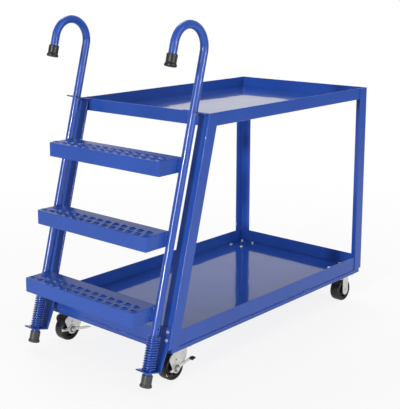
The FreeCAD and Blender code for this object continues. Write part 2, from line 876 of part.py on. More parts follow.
def least_gap(path, wire_size):
    """Least distance between the surfaces of neighbouring turns, measured on points."""
    points = path.discretize(Number=SPRING_TURNS * GAP_POINTS_PER_TURN)
    skip = GAP_POINTS_PER_TURN // 2
    pairs = ((one, other) for index, one in enumerate(points) for other in points[index + skip:])
    return min((one - other).Length for one, other in pairs) - wire_size


wound = spring_shape()
for side in SIDES:
    spring = doc.addObject("Part::Feature", f"spring_{side}_wire")
    spring.Shape = wound
    node(f"spring_{side}", on_rail(spring, side))


# Bolts that hold the spring brackets, threaded into the posts

def bracket_bolt(name, across, level, back):
    start = ("rail_offset - bracket_thick", across, level)
    radius = "bracket_bolt_diameter / 2"
    reach = "bracket_thick + post_thick"
    shank = rod(name + "_shank", radius, reach, start, along="x")
    head = rod(name + "_head", "bracket_bolt_diameter", "bracket_bolt_diameter / 2", back, along="x")
    return fuse(name, [shank, head])


def bracket_bolts(side):
    bolts = []
    for number, (across, level) in enumerate(bracket_bolt_places(side)):
        back = ("rail_offset - bracket_thick - bracket_bolt_diameter / 2", across, level)
        bolts.append(bracket_bolt(f"bracket_bolt_{side}_{number}", across, level, back))
    return on_rail(group(f"bracket_bolts_placed_{side}", bolts), side)


for side in SIDES:
    node(f"bracket_bolts_{side}", bracket_bolts(side))
    holes = []
    for number, (across, level) in enumerate(bracket_bolt_places(side)):
        start = ("rail_offset - overrun", across, level)
        radius = "bracket_bolt_diameter / 2 + bolt_hole_clear"
        depth = "post_thick + 2 * overrun"
        holes.append(rod(f"post_hole_{side}_{number}", radius, depth, start, along="x"))
    drill = on_rail(group(f"post_drill_{side}", holes), side)
    post = nodes[f"front_post_{side}"]
    node(f"front_post_{side}", cut(f"front_post_drilled_{side}", post, [drill]))


# Casters: the front pair swivels and has brake levers, the rear pair is rigid

def caster_plate(name, x, y):
    blank = box(
        name + "_blank",
        ("caster_plate_length", "caster_plate_width", "caster_plate_thick"),
        (f"{x} - caster_plate_length / 2", f"{y} - caster_plate_width / 2", "plate_z"),
    )
    return round_edges(name + "_rounded", blank, "caster_plate_radius", upright)


def plate_holes(name, x, y):
    places = bolt_places([(x, y)])
    return bolt_holes(name, places, "plate_z - overrun", "caster_plate_thick + 2 * overrun")


def swivel_outline(x, axle_x, top):
    """Corners of a swivel fork's cheek, and the three of them that are rounded."""
    shoulder = (f"{x} + fork_top_half", f"{top} - fork_shoulder")
    heel = (f"{x} + fork_heel_reach", "axle_z + fork_heel_rise")
    nose = (f"{axle_x} - fork_nose_reach", f"{top} - fork_nose_drop")
    low = "fork_boss_radius * sqrt(2) / 2"
    corners = [
        (f"{x} - fork_top_half", top), (f"{x} + fork_top_half", top), shoulder, heel,
        (f"{axle_x} + {low}", f"axle_z - {low}"), (f"{axle_x} - fork_boss_radius", "axle_z"), nose,
    ]
    return corners, [shoulder, heel, nose]


def rigid_outline(x, top):
    """Corners of a rigid fork's cheek down to the axle."""
    return [
        (f"{x} - rigid_half", top), (f"{x} + rigid_half", top),
        (f"{x} + rigid_half", "axle_z"), (f"{x} - rigid_half", "axle_z"),
    ]


def across_at(corners):
    """A test for the edges that run across a plate at some corners of its outline."""
    points = [(value(x), value(z)) for x, z in corners]
    slack = value("fork_thick") * NEARLY_ZERO_SHARE

    def chosen(edge):
        ends = [(vertex.X, vertex.Z) for vertex in edge.Vertexes]
        return any(all(math.dist(end, point) < slack for end in ends) for point in points)

    return chosen


def fork_legs(name, y, axle_x, boss_radius, outline, rounded=()):
    """Two cheeks of an outline, each with a round end about the axle."""
    legs = []
    for label, sign in SIDES.items():
        middle = f"{y} + {sign} * (fork_half - fork_thick / 2)"
        cheek = padded(f"{name}_{label}_cheek", "XZ_Plane", outline, "fork_thick")
        place(cheek, "0", middle, "0")
        if rounded:
            chosen = across_at(rounded)
            cheek = round_edges(f"{name}_{label}_rounded", cheek, "fork_corner_radius", chosen)
        start = (axle_x, f"{middle} + fork_thick / 2", "axle_z")
        boss = rod(f"{name}_{label}_boss", boss_radius, "fork_thick", start, along="y")
        legs += [cheek, boss]
    return legs


def fork_hole(name, radius, x, y, z):
    """A hole through both cheeks of a fork."""
    reach = "(fork_half + overrun)"
    return rod(name, radius, f"2 * {reach}", (x, f"{y} + {reach}", z), along="y")


def axle(name, axle_x, y, right_end):
    """An axle bolt with its head on the left and its nut beyond right_end."""
    start = f"{y} + fork_half"
    length = f"fork_half + {right_end} + axle_head_height + axle_diameter / 4"
    shank = rod(name + "_shank", "axle_diameter / 2", length, (axle_x, start, "axle_z"), along="y")
    head_start = (axle_x, f"{start} + axle_head_height", "axle_z")
    head = hexagon(name + "_head", "axle_head_diameter", "axle_head_height", head_start, along="y")
    nut_start = (axle_x, f"{y} - ({right_end})", "axle_z")
    nut = hexagon(name + "_nut", "axle_head_diameter", "axle_head_height", nut_start, along="y")
    radius = "axle_diameter / 2 + pin_clear"
    bore = rod(name + "_nut_bore", radius, "axle_head_height", nut_start, along="y")
    bolt = fuse(name + "_bolt", [shank, head])
    return group(name, [bolt, cut(name + "_nut_drilled", nut, [bore])])


def wheel(name, axle_x, y):
    """A moulded hub with a recessed web, and the tyre on its rim."""
    bore = "axle_diameter / 2 + axle_clear"
    rim = "(tyre_radius - web_rim)"
    edge = "(wheel_width / 2 - tyre_shoulder)"
    hub_outline = [
        ("-hub_length / 2", bore), ("hub_length / 2", bore), ("hub_length / 2", "hub_radius"),
        ("web_thick / 2", "hub_radius + web_rim"), ("web_thick / 2", rim), (edge, rim),
        (edge, "tyre_radius"), (f"-{edge}", "tyre_radius"), (f"-{edge}", rim),
        ("-web_thick / 2", rim), ("-web_thick / 2", "hub_radius + web_rim"),
        ("-hub_length / 2", "hub_radius"),
    ]
    seat = "tyre_radius + pin_clear"
    outer = "wheel_diameter / 2"
    shoulder = f"{outer} - tyre_shoulder"
    tyre_outline = [
        ("-wheel_width / 2", seat), ("wheel_width / 2", seat), ("wheel_width / 2", shoulder),
        (edge, outer), (f"-{edge}", outer), ("-wheel_width / 2", shoulder),
    ]
    for piece, outline in (("hub", hub_outline), ("tyre", tyre_outline)):
        body = turned(f"{name}_{piece}_turned", "YZ_Plane", outline, "H_Axis")
        node(f"{name}_{piece}", place(body, axle_x, y, "axle_z"))


def brake_lever(name, axle_x, y, tilt):
    """A see-saw bar on the axle with a round boss and a foot tab folded outwards at each end."""
    half = "(lever_arm_width / 2)"
    bar_size = ("lever_front + lever_rear", "lever_thick", "lever_arm_width")
    arm = box(name + "_arm", bar_size, ("-lever_front", "-lever_thick / 2", f"-{half}"))
    middle = ("0", "lever_thick / 2", "0")
    boss = rod(name + "_boss", "lever_boss_radius", "lever_thick", middle, along="y")
    tabs = [
        box(
            f"{name}_tab_{number}",
            ("lever_tab_length", "lever_tab_reach", "lever_thick"),
            (start, "-lever_tab_reach - lever_thick / 2", f"{half} - lever_thick"),
        )
        for number, start in enumerate(("-lever_front", "lever_rear - lever_tab_length"))
    ]
    start = ("0", "lever_thick / 2 + overrun", "0")
    radius = "axle_diameter / 2 + axle_clear"
    bore = rod(name + "_bore", radius, "lever_thick + 2 * overrun", start, along="y")
    lever = cut(name, fuse(name + "_welded", [arm, boss, *tabs]), [bore])
    return place(lever, axle_x, f"{y} - lever_y - lever_thick / 2", "axle_z", Y_AXIS, tilt)


def swivel_caster(side):
    x, y = "front_caster_x", f"{SIDES[side]} * caster_y"
    axle_x = f"({x} - caster_trail)"
    name = f"front_caster_{side}"
    race = rod(name + "_race", "race_radius", "race_height", (x, y, "race_z"))
    start = (x, y, "race_z - overrun")
    king_bore = rod(name + "_king_bore", "king_radius + pin_clear", "race_height + overrun", start)
    plate = fuse(name + "_raced", [caster_plate(name, x, y), race])
    node(f"caster_plate_{side}", cut(name + "_plate", plate, [king_bore, *plate_holes(name, x, y)]))

    head_z = "crown_z - race_gap - king_head_height"
    shank = rod(name + "_king_shank", "king_radius", f"plate_z - ({head_z})", (x, y, head_z))
    head = rod(name + "_king_head", "king_head_radius", "king_head_height", (x, y, head_z))
    node(f"king_pin_{side}", fuse(name + "_king", [shank, head]))

    crown = rod(name + "_crown", "crown_radius", "crown_thick", (x, y, "crown_z"))
    top = "crown_z + crown_thick"
    legs = fork_legs(name, y, axle_x, "fork_boss_radius", *swivel_outline(x, axle_x, top))
    start = (x, y, "crown_z - overrun")
    depth = "crown_thick + 2 * overrun"
    crown_bore = rod(name + "_crown_bore", "king_radius + axle_clear", depth, start)
    small = "fork_hole_diameter / 2"
    tools = [
        crown_bore,
        fork_hole(name + "_axle_hole", "axle_diameter / 2 + axle_clear", axle_x, y, "axle_z"),
        fork_hole(name + "_small_hole", small, axle_x, y, "axle_z + fork_hole_rise"),
    ]
    welded = fuse(name + "_fork_welded", [crown, *legs])
    node(f"swivel_fork_{side}", cut(name + "_fork", welded, tools))
    node(f"front_axle_{side}", axle(name + "_axle", axle_x, y, "nut_y"))
    lever = brake_lever(name + "_lever", axle_x, y, f"lever_tilt_{side}")
    node(f"brake_lever_{side}", lever)
    wheel(f"front_wheel_{side}", axle_x, y)


def rigid_caster(side):
    x, y = "rear_caster_x", f"{SIDES[side]} * caster_y"
    name = f"rear_caster_{side}"
    legs = fork_legs(name, y, x, "rigid_half", rigid_outline(x, "plate_z"))
    bore = fork_hole(name + "_axle_hole", "axle_diameter / 2 + axle_clear", x, y, "axle_z")
    tools = [bore, *plate_holes(name, x, y)]
    welded = fuse(name + "_welded", [caster_plate(name, x, y), *legs])
    node(f"rigid_fork_{side}", cut(name + "_fork", welded, tools))
    node(f"rear_axle_{side}", axle(name + "_axle", x, y, "fork_half"))
    wheel(f"rear_wheel_{side}", x, y)


for side in SIDES:
    swivel_caster(side)
    rigid_caster(side)


def check_and_write():
    """Stop on any failed object, then write one file for each piece."""
    doc.recompute()
    failed = [thing.Name for thing in doc.Objects if {"Invalid", "Error"} & set(thing.State)]
    if failed:
        raise SystemExit(f"failed objects: {failed}")
    for name, thing in nodes.items():
        if thing.Shape.isNull() or not thing.Shape.isValid() or not thing.Shape.Solids:
            raise SystemExit(f"bad shape: {name}")
    os.makedirs("parts", exist_ok=True)
    for name, thing in nodes.items():
        thing.Shape.exportStep(f"parts/{name}.step")
    print(f"{len(nodes)} pieces written")


check_and_write()
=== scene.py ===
# %% [markdown]
# # A picking trolley with a sprung ladder
#
# The trolley is welded from folded sheet, angle iron and bent tube, and painted in one gloss
# blue. Its solids already have the right shape and place, so this lesson loads them as a fixed
# frame and gives them what a drawing leaves out: rounded edges, wound springs, moulded rubber,
# weld beads and real finishes. All lengths are in metres.

# %% Load the frame
import json
import math

import bpy
from mathutils import Matrix, Vector


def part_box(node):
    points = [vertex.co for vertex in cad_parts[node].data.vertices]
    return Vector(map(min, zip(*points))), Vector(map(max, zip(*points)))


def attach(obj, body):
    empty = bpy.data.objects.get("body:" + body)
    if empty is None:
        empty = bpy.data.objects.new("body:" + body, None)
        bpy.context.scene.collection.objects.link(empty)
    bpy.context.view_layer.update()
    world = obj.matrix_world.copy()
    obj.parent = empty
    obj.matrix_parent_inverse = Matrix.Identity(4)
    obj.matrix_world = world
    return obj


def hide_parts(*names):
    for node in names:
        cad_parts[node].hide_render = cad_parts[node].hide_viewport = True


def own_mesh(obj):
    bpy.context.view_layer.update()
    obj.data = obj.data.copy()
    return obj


MM = 0.001
SIDES = {"left": 1, "right": -1}

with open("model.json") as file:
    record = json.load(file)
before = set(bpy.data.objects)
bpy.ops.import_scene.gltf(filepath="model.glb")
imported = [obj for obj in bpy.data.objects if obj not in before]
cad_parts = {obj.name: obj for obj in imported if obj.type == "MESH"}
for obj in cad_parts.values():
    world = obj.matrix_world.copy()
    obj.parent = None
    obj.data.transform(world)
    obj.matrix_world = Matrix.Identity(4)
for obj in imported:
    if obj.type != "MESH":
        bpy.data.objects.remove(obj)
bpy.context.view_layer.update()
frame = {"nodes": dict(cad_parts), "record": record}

# %% [markdown]
# ## Two small tools
#
# An operator works on everything that is selected, so each step first picks one object alone.
# A finished piece then gets its name, its material and the body that it moves with. Where it
# stands for a solid of the frame, that solid is hidden.

# %% Pick an object, finish a piece
bodies = frame["record"]["behaviour"]["bodies"]
body_of = {solid: body for body, solids in bodies.items() for solid in solids}
slot_of = {part["node"]: part["material_slot"] for part in frame["record"]["subparts"]}


def pick(piece):
    """Select one object alone."""
    bpy.ops.object.select_all(action="DESELECT")
    piece.select_set(True)
    bpy.context.view_layer.objects.active = piece


def finish_piece(piece, name, material, body, slot, *solids):
    """Name a piece, paint it and tie it to the frame."""
    piece.name = name
    piece.data.name = name
    piece.data.materials.clear()
    piece.data.materials.append(material)
    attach(piece, body)
    if solids:
        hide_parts(*solids)


print(len(set(slot_of.values())), "finishes:", sorted(set(slot_of.values())))

# %% [markdown]
# ## Tools for finishes
#
# Every finish is a Principled shader with patterns on Object coordinates, so the patterns have
# a real size: a noise of scale 400 has about 400 spots in a metre. A noise can tint the colour,
# vary the roughness, or raise the surface through a Bump node. Most of a noise lies near its
# middle, so only that span of it is spread over the two colours or the two roughnesses.

# %% Make patterns
COLOUR_SPAN = (0.35, 0.65)
ROUGHNESS_SPAN = (0.3, 0.7)


def new_finish(name):
    """A material and its Principled shader."""
    material = bpy.data.materials.new(name)
    material.use_nodes = True
    return material, material.node_tree.nodes["Principled BSDF"]


def spots(material, per_metre, detail):
    """The output of a noise with so many spots in a metre."""
    tree = material.node_tree
    place = tree.nodes.new("ShaderNodeTexCoord")
    noise = tree.nodes.new("ShaderNodeTexNoise")
    noise.inputs["Scale"].default_value = per_metre
    noise.inputs["Detail"].default_value = detail
    tree.links.new(place.outputs["Object"], noise.inputs["Vector"])
    return noise.outputs["Fac"]


def vary_colour(material, shader, pattern, first, second):
    """Let a pattern blend two colours."""
    tree = material.node_tree
    ramp = tree.nodes.new("ShaderNodeValToRGB")
    for stop, position, colour in zip(ramp.color_ramp.elements, COLOUR_SPAN, (first, second)):
        stop.position = position
        stop.color = (*colour, 1)
    tree.links.new(pattern, ramp.inputs["Fac"])
    tree.links.new(ramp.outputs["Color"], shader.inputs["Base Color"])


def vary_roughness(material, shader, pattern, low, high):
    """Let a pattern move the roughness between two values."""
    tree = material.node_tree
    spread = tree.nodes.new("ShaderNodeMapRange")
    for name, limit in zip(("From Min", "From Max", "To Min", "To Max"), (*ROUGHNESS_SPAN, low, high)):
        spread.inputs[name].default_value = limit
    tree.links.new(pattern, spread.inputs["Value"])
    tree.links.new(spread.outputs["Result"], shader.inputs["Roughness"])


def raise_surface(material, shader, *layers):
    """Bump the surface by (pattern, depth) layers, one on top of the other."""
    tree = material.node_tree
    below = None
    for pattern, depth in layers:
        bump = tree.nodes.new("ShaderNodeBump")
        bump.inputs["Strength"].default_value = 1
        bump.inputs["Distance"].default_value = depth
        tree.links.new(pattern, bump.inputs["Height"])
        if below:
            tree.links.new(below, bump.inputs["Normal"])
        below = bump.outputs["Normal"]
    tree.links.new(below, shader.inputs["Normal"])
    tree.links.new(below, shader.inputs["Coat Normal"])


print("patterns use the middle of a noise:", COLOUR_SPAN, "and", ROUGHNESS_SPAN)

# %% [markdown]
# ## Blue gloss paint
#
# The paint flows out to a hard gloss. Close up it has a fine orange peel, and over a hand's
# width its tone wanders a little. Seen flat, it mirrors whatever is bright behind it, which a
# thin clear coat over the colour gives without any trick. The decks are large flat sheets, so
# they get the same paint with less orange peel and a slow wave, which bends their reflections.
# The steps are a little duller, and their trodden faces have hardly any gloss left.

# %% Mix the paints
BLUE = (0.018, 0.072, 0.36)
DEEP_BLUE = (0.016, 0.065, 0.335)
COAT_ROUGHNESS = 0.04
ROUGHNESS_SPREAD = 0.06
WAVES_PER_METRE, PEEL_PER_METRE = 5, 420


def blue_gloss(name, roughness, gloss, coat, wave_depth, peel_depth):
    """A blue paint with a slow wave and a fine orange peel."""
    material, shader = new_finish(name)
    shader.inputs["Specular IOR Level"].default_value = gloss
    shader.inputs["Coat Weight"].default_value = coat
    shader.inputs["Coat Roughness"].default_value = COAT_ROUGHNESS
    slow = spots(material, WAVES_PER_METRE, detail=1)
    peel = spots(material, PEEL_PER_METRE, detail=1)
    vary_colour(material, shader, slow, BLUE, DEEP_BLUE)
    vary_roughness(material, shader, peel, roughness, roughness + ROUGHNESS_SPREAD)
    raise_surface(material, shader, (slow, wave_depth), (peel, peel_depth))
    return material


paint = blue_gloss(
    "blue_gloss_paint", roughness=0.2, gloss=0.5, coat=0.3, wave_depth=0.3 * MM, peel_depth=0.006 * MM
)
button_paint = blue_gloss(
    "blue_button_paint", roughness=0.22, gloss=0.22, coat=0, wave_depth=0.2 * MM, peel_depth=0.012 * MM
)
step_paint = blue_gloss(
    "blue_step_paint", roughness=0.22, gloss=0.5, coat=0.1, wave_depth=0.3 * MM, peel_depth=0.012 * MM
)
deck_paint = blue_gloss(
    "blue_deck_paint", roughness=0.12, gloss=0.1, coat=0.8, wave_depth=1.6 * MM, peel_depth=0.002 * MM
)
print("paints:", paint.name, step_paint.name, button_paint.name, deck_paint.name)

# %% [markdown]
# ## Zinc, rubber and plastic
#
# Forks, levers and bolts are zinc plated: a bright warm grey metal whose sheen is cloudy. The
# stop pins and dust rings carry the yellow brown passivated kind, and the spring pins and lever
# rings a dull dark one. The rail tips are dark grey moulded rubber, and the wheels are harder and
# blacker. The throats of the tread's buttons get a near-black painted shade, for the shadow inside
# the holes. All have a fine grain, finest on the plastic hubs.

# %% Mix the metals, rubbers and plastic
CLOUDS_PER_METRE, GRAIN_PER_METRE = 60, 900
CLOUD_DEPTH, GRAIN_DEPTH = 0.15 * MM, 0.02 * MM
MOTTLE_PER_METRE = 45


def plated(name, first, second, roughness):
    """A plated metal with a cloudy sheen."""
    material, shader = new_finish(name)
    shader.inputs["Metallic"].default_value = 1
    cloud = spots(material, CLOUDS_PER_METRE, detail=3)
    grain = spots(material, GRAIN_PER_METRE, detail=2)
    vary_colour(material, shader, cloud, first, second)
    vary_roughness(material, shader, cloud, *roughness)
    raise_surface(material, shader, (cloud, CLOUD_DEPTH), (grain, GRAIN_DEPTH))
    return material


def moulded(name, first, second, roughness, per_metre, depth):
    """A moulded rubber or plastic with an even grain of some depth."""
    material, shader = new_finish(name)
    mottle = spots(material, MOTTLE_PER_METRE, detail=2)
    grain = spots(material, per_metre, detail=2)
    vary_colour(material, shader, mottle, first, second)
    vary_roughness(material, shader, mottle, *roughness)
    raise_surface(material, shader, (grain, depth))
    return material


zinc = plated("zinc_plate", (0.82, 0.81, 0.76), (0.93, 0.92, 0.87), roughness=(0.36, 0.5))
dull_zinc = plated("dull_zinc_plate", (0.10, 0.10, 0.11), (0.18, 0.18, 0.19), roughness=(0.4, 0.55))
yellow_zinc = plated("yellow_zinc_plate", (0.42, 0.17, 0.05), (0.55, 0.26, 0.09), roughness=(0.3, 0.45))
foot_rubber = moulded(
    "grey_foot_rubber", (0.04, 0.039, 0.039), (0.06, 0.058, 0.058),
    roughness=(0.36, 0.5), per_metre=700, depth=0.05 * MM,
)
grip_rubber = moulded(
    "black_grip_rubber", (0.012, 0.012, 0.013), (0.022, 0.022, 0.023),
    roughness=(0.26, 0.4), per_metre=700, depth=0.04 * MM,
)
tyre_rubber = moulded(
    "black_tyre_rubber", (0.008, 0.008, 0.009), (0.018, 0.018, 0.02),
    roughness=(0.3, 0.46), per_metre=500, depth=0.06 * MM,
)
# The throat finish is a near-black painted shade that stands in for the shadow inside the punched holes.
throat_painted_shade = moulded(
    "throat_painted_shade", (0.003, 0.004, 0.008), (0.005, 0.006, 0.012),
    roughness=(0.6, 0.75), per_metre=500, depth=0.03 * MM,
)
hub_plastic = moulded(
    "black_hub_plastic", (0.01, 0.01, 0.011), (0.02, 0.02, 0.022),
    roughness=(0.35, 0.5), per_metre=1200, depth=0.02 * MM,
)
finish_of = {"blue_paint": paint, "deck_sheet": deck_paint, "zinc_steel": zinc}
print(len(bpy.data.materials), "materials in the file")

# %% [markdown]
# ## Soft edges on folded sheet and angle iron
#
# A folded or sawn edge is never a knife edge: it is a narrow round that catches a line of
# light. A copy of the solid is merged, its flat faces are joined, and a Bevel modifier rounds
# each sharp edge. Weighted normals keep the big faces flat to the eye. A fold has a larger
# radius than a sawn edge, so where one shows, its edges are selected by their place and
# bevelled first.

# %% Round the edges of a solid
MERGE_DISTANCE = 0.005 * MM
FLAT_ANGLE = math.radians(0.5)
SHARP_ANGLE = math.radians(33)
SMOOTH_ANGLE = math.radians(50)
EDGE_SEGMENTS, FOLD_SEGMENTS = 2, 3
BY_EDGE, BY_FACE = (False, True, False), (False, False, True)


def merged_copy(solid):
    """A copy of a solid's mesh with its doubles merged and its flat faces joined."""
    piece = bpy.data.objects.new(solid + "_finished", frame["nodes"][solid].data.copy())
    bpy.context.scene.collection.objects.link(piece)
    pick(piece)
    bpy.ops.object.mode_set(mode="EDIT")
    bpy.ops.mesh.select_all(action="SELECT")
    bpy.ops.mesh.customdata_custom_splitnormals_clear()
    bpy.ops.mesh.remove_doubles(threshold=MERGE_DISTANCE)
    bpy.ops.mesh.dissolve_limited(angle_limit=FLAT_ANGLE)
    bpy.ops.object.mode_set(mode="OBJECT")
    return piece


def clear_selection(select_mode):
    """Deselect the whole active mesh, to select its edges or its faces next."""
    bpy.context.tool_settings.mesh_select_mode = select_mode
    bpy.ops.object.mode_set(mode="EDIT")
    bpy.ops.mesh.select_all(action="DESELECT")
    bpy.ops.object.mode_set(mode="OBJECT")


def bevel_folds(piece, is_fold, radius):
    """Round the edges whose two ends pass a test."""
    clear_selection(BY_EDGE)
    points = piece.data.vertices
    for edge in piece.data.edges:
        edge.select = all(is_fold(points[index].co) for index in edge.vertices)
    bpy.ops.object.mode_set(mode="EDIT")
    bpy.ops.mesh.bevel(offset=radius, segments=FOLD_SEGMENTS, affect="EDGES", clamp_overlap=False)
    bpy.ops.object.mode_set(mode="OBJECT")


def round_edges(piece, width):
    """Round every sharp edge and smooth the shading."""
    pick(piece)
    bevel = piece.modifiers.new("rounded edges", "BEVEL")
    bevel.width = width
    bevel.segments = EDGE_SEGMENTS
    bevel.limit_method = "ANGLE"
    bevel.angle_limit = SHARP_ANGLE
    bevel.use_clamp_overlap = False
    bpy.ops.object.modifier_apply(modifier=bevel.name)
    smooth_shading(piece)


def smooth_shading(piece):
    """Smooth all but the sharpest edges, and let the large faces stay flat."""
    pick(piece)
    bpy.ops.object.shade_smooth_by_angle(angle=SMOOTH_ANGLE)
    weights = piece.modifiers.new("flat faces", "WEIGHTED_NORMAL")
    weights.keep_sharp = True
    bpy.ops.object.modifier_apply(modifier=weights.name)


def dress(solid, width, material=None):
    """Replace a solid by a copy with round edges."""
    piece = merged_copy(solid)
    round_edges(piece, width)
    finish = material or finish_of[slot_of[solid]]
    finish_piece(piece, piece.name, finish, body_of[solid], slot_of[solid], solid)


print("edges over", round(math.degrees(SHARP_ANGLE)), "degrees will be rounded")

# %% [markdown]
# ## Shelves and frame
#
# The shelf rims are folded under at the bottom, so their lower outer edge is a real bend of
# about 3 mm. The frame below hangs on short stitches, and its top is bent over in the same
# way, just under the groove that runs along the trolley's flank.

# %% Dress the shelves, posts and channels
SHEET_EDGE, POST_EDGE = 0.7 * MM, 2 * MM
FOLD_RADIUS = 3 * MM
CORNER_REACH = 7 * MM
LEVEL_TOLERANCE = 0.05 * MM
GROOVE = 5 * MM


def edge_distance(point, low, high):
    """How far a point is from the nearest upright side of a box."""
    return min(abs(point[axis] - side[axis]) for axis in (0, 1) for side in (low, high))


def dress_folded(solid, fold_level):
    """Dress a rim whose outer edge at one level is a bend."""
    low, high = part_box(solid)
    piece = merged_copy(solid)

    def is_fold(point):
        at_level = abs(point.z - fold_level) < LEVEL_TOLERANCE
        return at_level and edge_distance(point, low, high) < CORNER_REACH

    bevel_folds(piece, is_fold, FOLD_RADIUS)
    round_edges(piece, SHEET_EDGE)
    finish_piece(piece, piece.name, paint, body_of[solid], slot_of[solid], solid)


for solid in ("top_shelf_frame", "bottom_shelf_frame"):
    dress_folded(solid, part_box(solid)[0].z)
dress_folded("under_rim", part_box("under_rim")[1].z - GROOVE)
for solid in ("top_deck", "bottom_deck", "front_cross_channel", "rear_cross_channel"):
    dress(solid, SHEET_EDGE)
for end in ("front", "rear"):
    for side in SIDES:
        dress(f"{end}_post_{side}", POST_EDGE)
shelf_low, shelf_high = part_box("bottom_shelf_frame")
print("the bottom shelf spans", [round(size, 3) for size in shelf_high - shelf_low])

# %% [markdown]
# ## A tool for turned shapes
#
# Buttons, rubber tips, wheels and rings are bodies of revolution. An outline is drawn once as a
# closed loop of points, given in millimetres as distance along the axis and radius, and the
# Spin operator turns it round the axis. The many small buttons get the fewest steps, and the
# wheels the most.

# %% Spin an outline
ACROSS = Vector((0, 1, 0))
UP = Vector((0, 0, 1))
SPIN_STEPS = {"button": 24, "tip": 40, "nut ring": 40, "dust ring": 56, "wheel": 64}


def spun(outline, centre, axis, steps):
    """Spin a closed outline of (along, radius) pairs round an axis."""
    bpy.ops.object.select_all(action="DESELECT")
    bpy.ops.mesh.primitive_circle_add(vertices=len(outline))
    piece = bpy.context.object
    side = axis.orthogonal().normalized()
    for vertex, (along, radius) in zip(piece.data.vertices, outline):
        vertex.co = centre + axis * along + side * radius
    bpy.ops.object.mode_set(mode="EDIT")
    bpy.ops.mesh.select_all(action="SELECT")
    bpy.ops.mesh.spin(steps=steps, angle=math.tau, center=centre, axis=axis)
    bpy.ops.mesh.select_all(action="SELECT")
    bpy.ops.mesh.remove_doubles(threshold=MERGE_DISTANCE)
    bpy.ops.mesh.normals_make_consistent(inside=False)
    bpy.ops.object.mode_set(mode="OBJECT")
    return piece


def metres(outline):
    """An outline in millimetres as one in metres."""
    return [(along * MM, radius * MM) for along, radius in outline]


print("steps round:", SPIN_STEPS)

# %% [markdown]
# ## Ladder
#
# Each step is one sheet, folded down on all sides, with rows of raised and punched buttons for
# grip. The bends round the tread get a larger radius, which is the bright line along a step's
# front. A pressed button has a soft foot, a rolled rim and a throat that narrows downwards, so
# the plain cones are taken out of the sheet and a spun button is set in each gap. An Array
# modifier repeats one button along its row. The lower throats get a near-black painted shade,
# for the shadow inside the holes.
# The rails are bent tube, and only their drilled holes have edges to round.

# %% Dress the steps and rails
STEP_LEVELS = ("bottom", "middle", "top")
STEP_EDGE, RAIL_EDGE, PLATE_EDGE = 0.9 * MM, 0.4 * MM, 0.8 * MM
TREAD_BEND = 2.2 * MM
BEND_REACH = 3 * MM
BUTTON_HEIGHT = 4 * MM
BUTTON_ROWS = ((20 * MM, 14), (60 * MM, 13))
BUTTON_PITCH = 43.7 * MM
THROAT_RADIUS = 6.7 * MM
# Throat faces below this height above the tread get the painted shade.
THROAT_SHADE_TOP = 2.2 * MM
BUTTON_OUTLINE = (
    (-2.4, 6.2), (-0.5, 17.6), (0.03, 17.5), (0.35, 16.2), (0.9, 14.8), (1.7, 13.1), (2.5, 11.5),
    (3.2, 10), (3.75, 8.9), (4, 8.1), (3.9, 7.6), (3.5, 7.2), (2.2, 6.7), (-2.4, 5.9),
)
SKIN = 0.1 * MM
WALL_SHARE, LEVEL_SHARE = 0.1, 0.95
# The third material index holds the painted shade of the throats.
SHEET, BUTTON, THROAT = range(3)


def button_places(front):
    """The middle of every button of a step."""
    for back, count in BUTTON_ROWS:
        for number in range(count):
            yield front + back, (number - (count - 1) / 2) * BUTTON_PITCH


def axis_distance(point, places):
    """How far a point is from the axis of the nearest button."""
    return min(math.hypot(point.x - x, point.y - y) for x, y in places)


def remove_cones(piece, tread, places):
    """Take the plain buttons and the walls of their holes out of a step's sheet."""
    clear_selection(BY_FACE)
    for face in piece.data.polygons:
        upright = abs(face.normal.z) < WALL_SHARE
        wall = upright and axis_distance(face.center, places) < THROAT_RADIUS
        face.select = wall or face.center.z > tread + SKIN
    bpy.ops.object.mode_set(mode="EDIT")
    bpy.ops.mesh.delete(type="FACE")
    bpy.ops.object.mode_set(mode="OBJECT")


def button_row(x, count, tread):
    """One spun button, repeated across the step."""
    first = Vector((x, -(count - 1) / 2 * BUTTON_PITCH, tread))
    row = spun(metres(BUTTON_OUTLINE), first, UP, SPIN_STEPS["button"])
    repeat = row.modifiers.new("row of buttons", "ARRAY")
    repeat.count = count
    repeat.use_relative_offset = False
    repeat.use_constant_offset = True
    repeat.constant_offset_displace = (0, BUTTON_PITCH, 0)
    bpy.ops.object.modifier_apply(modifier=repeat.name)
    smooth_shading(row)
    return row


def finish_faces(piece, sheet_faces, tread, places):
    """Give the flat tread and the buttons their duller paint, and the lower throats a painted shade."""
    for face in piece.data.polygons[:sheet_faces]:
        on_tread = face.normal.z > LEVEL_SHARE and face.center.z > tread - SKIN
        face.material_index = BUTTON if on_tread else SHEET
    for face in piece.data.polygons[sheet_faces:]:
        # The lower throat faces get the near-black painted shade.
        low_down = face.center.z < tread + THROAT_SHADE_TOP
        in_painted_shade = low_down and axis_distance(face.center, places) < THROAT_RADIUS
        face.material_index = THROAT if in_painted_shade else BUTTON


def dress_step(solid):
    """Dress a step, with soft bends round its tread and pressed buttons."""
    low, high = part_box(solid)
    tread = high.z - BUTTON_HEIGHT
    places = list(button_places(low.x))
    piece = merged_copy(solid)

    def is_bend(point):
        return abs(point.z - tread) < LEVEL_TOLERANCE and edge_distance(point, low, high) < BEND_REACH

    remove_cones(piece, tread, places)
    bevel_folds(piece, is_bend, TREAD_BEND)
    round_edges(piece, STEP_EDGE)
    rows = [button_row(low.x + back, count, tread) for back, count in BUTTON_ROWS]
    sheet_faces = len(piece.data.polygons)
    pick(piece)
    for row in rows:
        row.select_set(True)
    bpy.ops.object.join()
    finish_piece(piece, piece.name, step_paint, body_of[solid], slot_of[solid], solid)
    piece.data.materials.append(button_paint)
    piece.data.materials.append(throat_painted_shade)
    finish_faces(piece, sheet_faces, tread, places)


